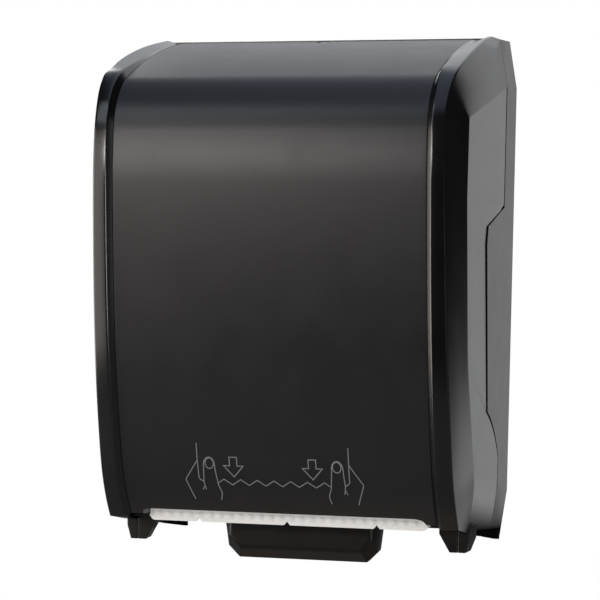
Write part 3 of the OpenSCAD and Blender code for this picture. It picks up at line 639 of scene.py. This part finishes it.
def sheet_piece(name, body, rows, paint, solids=(), thickness=3.0, edge_mm=0.8,
                outward=(0, -1, 0), hole=None):
    # A moulded sheet from faces of points in millimetres, thickened to its inside, edges rounded
    grid = bmesh.new()
    seen = {}

    def corner(point):
        key = tuple(round(c, 4) for c in point)
        if key not in seen:
            seen[key] = grid.verts.new(Vector(point) * mm)
        return seen[key]

    for face in rows:
        corners = []
        for point in face:
            spot = corner(point)
            if spot not in corners:
                corners.append(spot)
        if len(corners) > 2:
            grid.faces.new(corners)
    bmesh.ops.recalc_face_normals(grid, faces=grid.faces)
    facing_out = sum(f.normal.dot(Vector(outward)) * f.calc_area() for f in grid.faces)
    if facing_out < 0:
        bmesh.ops.reverse_faces(grid, faces=grid.faces)
    made = placed(name, mesh_from(grid, name))
    made.data.materials.append(paint)
    skin = made.modifiers.new("wall", "SOLIDIFY")
    skin.thickness = thickness * mm
    skin.offset = -1
    skin.use_even_offset = True
    skin.use_quality_normals = True
    if hole:
        cut_hole(made, hole)
    round_edges(made, edge_mm, segments=3)
    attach(made, body)
    if solids:
        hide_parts(*solids)


def panel_faces():
    # Rows over the whole width, then a leg on each side of the mouth, round at the mouth's corners
    line = panel_outline()
    over = [p for p in line if p.y > mouth_top + mouth_clear]
    inset = leg_insets + [panel_half - mouth_half + mouth_r]
    flat = panel_half - inset[-1]
    across = [-panel_half + s for s in inset]
    across += [-flat + 2 * flat * i / panel_spans for i in range(1, panel_spans)]
    across += [panel_half - s for s in reversed(inset)]
    at = [p.y for p in line].index(over[0].y)
    low, high = line[at - 1], line[at]
    edge = low.lerp(high, (mouth_top - low.y) / (high.y - low.y))
    rows = [edge] + over
    faces = []
    for a, b in zip(rows, rows[1:]):
        for x0, x1 in zip(across, across[1:]):
            faces.append([(x0, a.x, a.y), (x1, a.x, a.y), (x1, b.x, b.y), (x0, b.x, b.y)])
    leg = [[(panel_half - s, edge.x, edge.y) for s in inset]]
    count = len(leg_insets)
    for i in range(1, leg_steps + 1):
        spot = edge.lerp(line[0], i / leg_steps)
        drop = min(mouth_top - spot.y, mouth_r)
        inner = mouth_half - mouth_r + math.sqrt(max(0.0, mouth_r ** 2 - (mouth_r - drop) ** 2))
        xs = [panel_half + (inner - panel_half) * k / count for k in range(count + 1)]
        leg.append([(x, spot.x, spot.y) for x in xs])
    for a, b in zip(leg, leg[1:]):
        for k in range(len(a) - 1):
            quad = [a[k], a[k + 1], b[k + 1], b[k]]
            faces.append(quad)
            faces.append([(-x, y, z) for x, y, z in quad])
    return faces


panel_paint = moulded("panel_black", panel_black, panel_sparkle, rough=0.33, grain=0.3, grain_scale=1100.0,
                      shine=0.46)
sheet_piece("panel", "cover", panel_faces(), panel_paint, ["front_panel"], panel_t,
            panel_edge_mm, hole=lock_hole)

# Sign
# A small generic picture printed low on the panel in thin grey ink: two hands draw a towel down
# by its edge. The ink is a thin raised ribbon along each stroke.
ink_grey = (0.15, 0.15, 0.153, 1.0)
ink_worn = (0.12, 0.12, 0.123, 1.0)
sign_middle = -1.1
ink_w = 0.8
ink_lift = 0.1
ink_t = 0.05
ink_join = 0.00002
stroke_step = 3.0
same_spot = 0.01
miter_least = 0.5
nail_middle = (52.9, -127.4)
nail_size = (3.5, 4.4)
nail_points = 20
hand_strokes = (
    ((62.8, -111.0), (62.8, -125.0), (62.6, -139.6), (62.0, -140.8), (58.8, -143.0)),
    ((62.8, -125.0), (68.3, -133.2), (73.4, -140.6), (73.8, -142.0), (71.0, -150.0), (68.0, -158.4)),
    ((46.2, -158.3), (44.9, -154.0), (44.8, -151.2), (46.6, -146.6), (47.1, -144.0), (48.5, -131.3),
     (48.5, -128.0), (49.3, -125.0), (51.0, -123.0), (53.0, -122.3), (55.2, -123.0), (57.0, -125.2),
     (57.8, -128.0), (58.8, -143.0)),
    ((58.8, -143.0), (58.4, -146.2), (57.6, -149.8)),
    ((58.4, -146.2), (60.4, -150.0)),
)
arrow_middle = 32.8
arrow_shape = ((-3.1, -121.8), (3.1, -121.8), (3.1, -129.0), (8.2, -129.0), (0.0, -138.2), (-8.2, -129.0),
               (-3.1, -129.0), (-3.1, -121.8))
wave_pitch = 13.9
wave_peaks = 7
wave_high, wave_low = -140.4, -145.0
wave_end = (46.9, -143.9)


def panel_y_at(z):
    line = panel_outline()
    for low, high in zip(line, line[1:]):
        if low.y <= z <= high.y:
            return low.lerp(high, (z - low.y) / (high.y - low.y)).x
    return line[0].x


def on_panel(spot):
    return (spot.x + sign_middle, panel_y_at(spot.y) - ink_lift, spot.y)


def ribbon_faces(points):
    # A strip of even width along a stroke, with mitred corners, laid on the panel
    spots = [Vector(p) for p in points]
    closed = (spots[0] - spots[-1]).length < same_spot
    edges = []
    for i, spot in enumerate(spots):
        before = spots[i - 1] if i else (spots[-2] if closed else spot)
        after = spots[i + 1] if i < len(spots) - 1 else (spots[1] if closed else spot)
        ways = [way.normalized() for way in (spot - before, after - spot) if way.length > same_spot]
        along = sum(ways, Vector((0, 0))).normalized()
        square = Vector((-along.y, along.x))
        miter = ink_w / 2 / max(miter_least, along.dot(ways[0]))
        edges.append((spot + square * miter, spot - square * miter))
    faces = []
    for one, two in zip(edges, edges[1:]):
        faces.append([on_panel(spot) for spot in (one[0], one[1], two[1], two[0])])
    return faces


def nail_stroke():
    turns = [2 * math.pi * i / nail_points for i in range(nail_points + 1)]
    return [(nail_middle[0] + nail_size[0] * math.cos(t), nail_middle[1] + nail_size[1] * math.sin(t))
            for t in turns]


def sign_faces():
    strokes = list(hand_strokes)
    strokes.append(nail_stroke())
    strokes.append([(arrow_middle + x, z) for x, z in arrow_shape])
    faces = []
    for stroke in strokes:
        fine = []
        for p, q in zip(stroke, stroke[1:]):
            pieces = max(1, round((Vector(q) - Vector(p)).length / stroke_step))
            fine += [Vector(p).lerp(Vector(q), k / pieces) for k in range(pieces)]
        fine.append(Vector(stroke[-1]))
        faces += ribbon_faces(fine)
        faces += ribbon_faces([(-p.x, p.y) for p in fine])
    half = wave_pitch / 2
    wave = [(-wave_end[0], wave_end[1])]
    for i in range(2 * wave_peaks - 1):
        wave.append(((i - wave_peaks + 1) * half, wave_low if i % 2 else wave_high))
    wave.append(wave_end)
    return faces + ribbon_faces(wave)


def sign_mesh():
    grid = bmesh.new()
    for face in sign_faces():
        grid.faces.new([grid.verts.new(Vector(p) * mm) for p in face])
    bmesh.ops.remove_doubles(grid, verts=grid.verts, dist=ink_join)
    bmesh.ops.recalc_face_normals(grid, faces=grid.faces)
    for face in grid.faces:
        if face.normal.y > 0:
            face.normal_flip()
    return mesh_from(grid, "sign", smooth=False)


ink_paint = moulded("ink_grey", ink_grey, ink_worn, rough=0.5, grain=0.02)
sign = placed("sign", sign_mesh())
sign.data.materials.append(ink_paint)
ink_skin = sign.modifiers.new("ink", "SOLIDIFY")
ink_skin.thickness = ink_t * mm
ink_skin.offset = -1
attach(sign, "cover")

# Cheeks
# The two sides of the cover, moulded in glossier black plastic: a raised rim beside the panel, a bevel,
# and a drafted flat side that meets the housing along a stepped line.
case_shine = 0.5
cheek_t, cheek_edge = 3.0, 0.9
rim_inner = 132.4
rim_outer = 144.4
rim_flare_deg = 0.57
crown_deg, crown_r = 70.7, 600.0
inner_deg, inner_r = 75.5, 1100.0
panel_edge = 128.45
side_top_x = 157.0
side_top_z = 176.0
side_draft_deg = 1.12
side_taper_deg = 0.83
rim_fall = 1.0
rim_round = 2.2
rim_softness = 4
lip_round = 1.5
shoulder_spot = Vector((150.8, rear_edge, 216.0))
shoulder_softness = 10
part_gap = 0.4
hinge_y, hinge_z = -135.0, -190.0
swing_start_y = -45.1
swing_start_deg, swing_end_deg = 32, 68
floor_wall_z = -211.5
floor_wall_x = 143.5
hem_y = -55.8
flange_x = 136.6
web_y = -162.0
side_corners = {
    "jaw": (-139.0, -137.0),
    "waist": (-172.0, -47.0),
    "temple": (-189.0, 85.0),
    "brow": (-187.5, 148.0),
    "shoulder": (rear_edge, side_top_z),
}
side_softness = 2
heel_meet, heel_turn = (-46.6, -158.5), (-45.6, -155.0)
step_foot, step_top = 46.0, 76.4
step_start, step_bend = (-114.5, 47.0), (-110.3, 62.4)
crease_foot = 0.26
crease_bow, heel_bow = 2.0, 0.8
crease_w = 1.3
low_shadow, step_shadow, high_shadow = 0.95, 0.15, 2.4
# Stations along the outline, counted from the foot
jaw_at, waist_at, step_start_at, step_bend_at, temple_at = 7, 19, 26, 27, 31
brow_at = front_steps + 9
brow_stay = 4
last_at = front_steps + corner_steps + roof_steps
corner_widen, widen_from, widen_full, widen_to = 4.2, 43, 68, 78


def rise_between(value, low, high):
    share = min(1.0, max(0.0, (value - low) / (high - low)))
    return share * share * (3 - 2 * share)


def rim_x(z):
    return rim_outer - z * math.tan(math.radians(rim_flare_deg))


def floor_z_at(y, front):
    return floor_wall_z + (front.y - floor_wall_z) * y / front.x


def side_x(z):
    return side_top_x - (side_top_z - z) * math.tan(math.radians(side_draft_deg))


def on_side(spot):
    taper = (rear_edge - spot[0]) * math.tan(math.radians(side_taper_deg))
    return Vector((side_x(spot[1]) - max(0.0, taper), spot[0], spot[1]))


def keyed(keys):
    # Points at every station between given stations, evenly spaced
    found = []
    for (at0, p0), (at1, p1) in zip(keys, keys[1:]):
        for i in range(at0, at1):
            found.append(Vector(p0).lerp(Vector(p1), (i - at0) / (at1 - at0)))
    found.append(Vector(keys[-1][1]))
    return found


def eased(points, rounds):
    for _ in range(rounds):
        inner = [(a + 2 * b + c) / 4 for a, b, c in zip(points, points[1:], points[2:])]
        points = [points[0]] + inner + [points[-1]]
    return points


def side_line():
    # The crease between the bevel and the flat side, from the jaw up to the shoulder
    order = ((jaw_at, "jaw"), (waist_at, "waist"), (temple_at, "temple"), (brow_at, "brow"),
             (brow_at + brow_stay, "brow"), (last_at, "shoulder"))
    return eased(keyed([(at, side_corners[name]) for at, name in order]), side_softness)


def swing_keys():
    # The lower part of the meeting line is round about the hinge, so that the cover swings clear
    swing_r = (swing_start_y - hinge_y) / math.cos(math.radians(swing_start_deg)) + part_gap
    first = jaw_at + 2
    count = waist_at - first
    keys = []
    for i in range(count + 1):
        angle = math.radians(swing_start_deg + (swing_end_deg - swing_start_deg) * i / count)
        y = hinge_y + swing_r * math.cos(angle) - 2 * part_gap
        z = hinge_z + swing_r * math.sin(angle) - part_gap
        keys.append((first + i, (y, z)))
    return keys


def meeting_line():
    # Where the cheek ends against the housing, from the heel up to the shoulder
    keys = [(jaw_at, heel_meet), (jaw_at + 1, heel_turn)] + swing_keys()
    keys += [(step_start_at, step_start), (step_bend_at, step_bend), (temple_at, (rear_edge, step_top)),
             (last_at, (rear_edge, side_top_z))]
    line = keyed(keys)
    drawn_in = []
    for i, spot in enumerate(line):
        way = line[min(i + 1, len(line) - 1)] - line[max(i - 1, 0)]
        shadow = low_shadow if spot.y < step_foot else step_shadow
        if spot.y > step_top - part_gap:
            shadow = high_shadow
        drawn_in.append(spot + shadow * Vector((-way.y, way.x)).normalized())
    return drawn_in


def heel_lines(foot, hem):
    # The lower crease and the lower meeting line, bowed out a little between the floor and the flat side
    crease, meet = [], []
    start = foot.lerp(hem, crease_foot)
    for i in range(jaw_at):
        t = i / jaw_at
        bow = Vector((4 * t * (1 - t), 0, 0))
        crease.append(start.lerp(on_side(side_corners["jaw"]), t) + crease_bow * bow)
        meet.append(hem.lerp(on_side(heel_meet), t) + heel_bow * bow)
    return crease, meet


def rounded(before, corner, after, reach):
    # Three points round a corner instead of one
    near = corner + (before - corner).normalized() * min(reach, (before - corner).length / 2)
    far = corner + (after - corner).normalized() * min(reach, (after - corner).length / 2)
    return [near, (near + 2 * corner + far) / 4, far]


def rim_and_bevel(crown, crease):
    # The rim's outer edge, and the middle of the bevel between that edge and the crease
    brow = on_side(side_corners["brow"])
    outer, middle = [], []
    for i in range(last_at + 1):
        way = (crown[min(i + 1, last_at)] - crown[max(i - 1, 0)]).normalized()
        fall = rim_fall * (1 - min(1.0, max(0.0, (i - front_steps) / corner_steps)))
        widen = rise_between(i, widen_from, widen_full) * rise_between(i, widen_to, widen_full)
        edge_x = rim_x(crown[i].y) + corner_widen * widen
        edge = Vector((edge_x, crown[i].x + fall * way.y, crown[i].y - fall * way.x))
        share = max(0.0, (i - brow_at) / (last_at - brow_at))
        facet = brow.lerp(shoulder_spot, share)
        outer.append(edge)
        middle.append(edge.lerp(crease[i], 0.5).lerp(facet, rise_between(i, brow_at, last_at)))
    return eased(outer, rim_softness), eased(middle, shoulder_softness)


def cheek_faces():
    rim = over_roof(0.0, inner_deg, inner_r)
    crown = over_roof(0.0, crown_deg, crown_r)
    low = panel_outline()
    front = crown[0]
    foot = Vector((rim_x(front.y), front.x, front.y))
    hem_x = foot.x + (floor_wall_x - foot.x) * (front.x - hem_y) / front.x
    hem = Vector((hem_x, hem_y - low_shadow, floor_z_at(hem_y, front) + part_gap))
    crease, meet = heel_lines(foot, hem)
    crease += [on_side(spot) for spot in side_line()]
    meet += [on_side(spot) for spot in meeting_line()]
    outer, middle = rim_and_bevel(crown, crease)
    rails = []
    for i in range(last_at + 1):
        a = Vector((panel_edge, low[i].x, low[i].y))
        b = Vector((rim_inner, rim[i].x, rim[i].y))
        c, s, d, p = outer[i], middle[i], crease[i], meet[i]
        before = d + (s - d).normalized() * crease_w
        after = d + (p - d).normalized() * min(crease_w, (p - d).length / 2)
        lip = rounded(a, b, c, lip_round)
        edge = rounded(b, c, s, rim_round)
        rails.append([a] + lip + edge + [s, before, d, after, p])
    faces = []
    for one, two in zip(rails, rails[1:]):
        for k in range(len(one) - 1):
            faces.append([one[k], one[k + 1], two[k + 1], two[k]])
    # The narrow floor that turns in from the lower edge
    web = floor_z_at(web_y, front) + part_gap
    web_in = Vector((rim_inner + lip_round, web_y, web))
    web_out = Vector((flange_x, web_y, web))
    faces.append([rails[0][3], rails[0][4], web_out, web_in])
    faces.append(rails[0][4:] + [Vector((flange_x, hem.y, hem.z)), web_out])
    return faces


def sheet_pair(name, body, faces, paint, node_name, thickness, edge_mm, out_x, out_y):
    # The right-hand piece as drawn, and the left-hand one as its mirror image
    mirrored = [[(-p[0], p[1], p[2]) for p in reversed(face)] for face in faces]
    for side, sign, rows in (("right", 1, faces), ("left", -1, mirrored)):
        solids = [side + "_" + node_name] if node_name else ()
        sheet_piece(name + "_" + side, body, rows, paint, solids, thickness, edge_mm,
                    (sign * out_x, out_y, 0))


case_paint = moulded("case_black", case_black, case_scuff, rough=0.18, shine=case_shine)
# The cheeks get the same painted shade along their lower rear edge
heel_shade_fade(case_paint, case_shine)
sheet_pair("cheek", "cover", cheek_faces(), case_paint, "cheek", cheek_t, cheek_edge,
           out_x=1, out_y=-1)

# Guard plates
# Two thin black plates that stand on the housing, just inside the lower part of the meeting line.
# They close the gap behind the cover, so that nothing shows through it from the side.
guard_x, guard_half = 135.3, 6.0
guard_t, guard_edge = 1.2, 0.3
guard_line = [Vector((-55.5, -198.5)), Vector((-47.0, -158.5)), Vector((-45.0, -148.0))]


def guard_faces():
    near = [(guard_x, spot.x - guard_half, spot.y) for spot in guard_line]
    far = [(guard_x, spot.x + guard_half, spot.y) for spot in guard_line]
    return [[near[i], far[i], far[i + 1], near[i + 1]] for i in range(len(guard_line) - 1)]


sheet_pair("guard", "chassis", guard_faces(), housing_paint, "", guard_t, guard_edge,
           out_x=1, out_y=0)

# Ledges and hinge knuckles
# The ledges carry the panel's edges, and are moulded on the cheeks in the same black plastic.
# The knuckles are moulded on the cheeks too, but get the base frame's black, and sit beside the feet of the
# base frame on the same pins.
ledge_in, ledge_out = 121.4, 130.9
ledge_set = 3.1
ledge_t, ledge_edge = 3.0, 0.4
ledge_from = 4
foot_x = 136.4
foot_split = 0.2
foot_tip = 6.6
foot_top, foot_brow, foot_base = -179.0, -186.5, -201.5
foot_front, foot_rear = -141.0, -127.0
knuckle_top_out, knuckle_brow, knuckle_flare = 9.6, 3.5, 3.4
knuckle_edge = 0.8


def ledge_faces():
    line = panel_outline(recess + ledge_set)[ledge_from:]
    faces = []
    for one, two in zip(line, line[1:]):
        faces.append([(ledge_in, one.x, one.y), (ledge_out, one.x, one.y), (ledge_out, two.x, two.y),
                      (ledge_in, two.x, two.y)])
    return faces


def knuckle_outline(sign, flare):
    # The outer face turns a little to the front, so the rear outline is wider by the flare
    inner = foot_x + foot_split
    outer = foot_x + knuckle_top_out + flare
    tip = foot_x + foot_tip + flare / 2
    corners = [(inner, foot_top), (outer, foot_top), (outer, foot_brow - knuckle_brow), (tip, foot_base),
               (inner, foot_base)]
    return [(sign * x, z) for x, z in corners]


def knuckle(name, sign):
    # A block between an outline in X and Z at its front and a wider one at its rear
    grid = bmesh.new()
    near = [grid.verts.new(Vector((x, foot_front, z)) * mm) for x, z in knuckle_outline(sign, 0.0)]
    far = [grid.verts.new(Vector((x, foot_rear, z)) * mm) for x, z in knuckle_outline(sign, knuckle_flare)]
    grid.faces.new(near)
    grid.faces.new(far)
    for i in range(len(near)):
        j = (i + 1) % len(near)
        grid.faces.new([near[i], near[j], far[j], far[i]])
    bmesh.ops.recalc_face_normals(grid, faces=grid.faces)
    made = placed(name, mesh_from(grid, name))
    made.data.materials.append(frame_paint)
    round_edges(made, knuckle_edge, segments=3)
    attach(made, "cover")


sheet_pair("ledge", "cover", ledge_faces(), case_paint, "", ledge_t, ledge_edge,
           out_x=0, out_y=-1)
knuckle("knuckle_right", 1)
knuckle("knuckle_left", -1)

# Lock
# A small cylinder lock of bright steel in the rear edge of the roof, in a black moulded housing.
# The hooked steel cam is fixed to the cylinder's lower end and turns with it.
dress("lock_housing", case_paint)
dress("lock_cylinder", bright_steel, steel_edge)
dress("latch_cam", bright_steel, steel_edge)
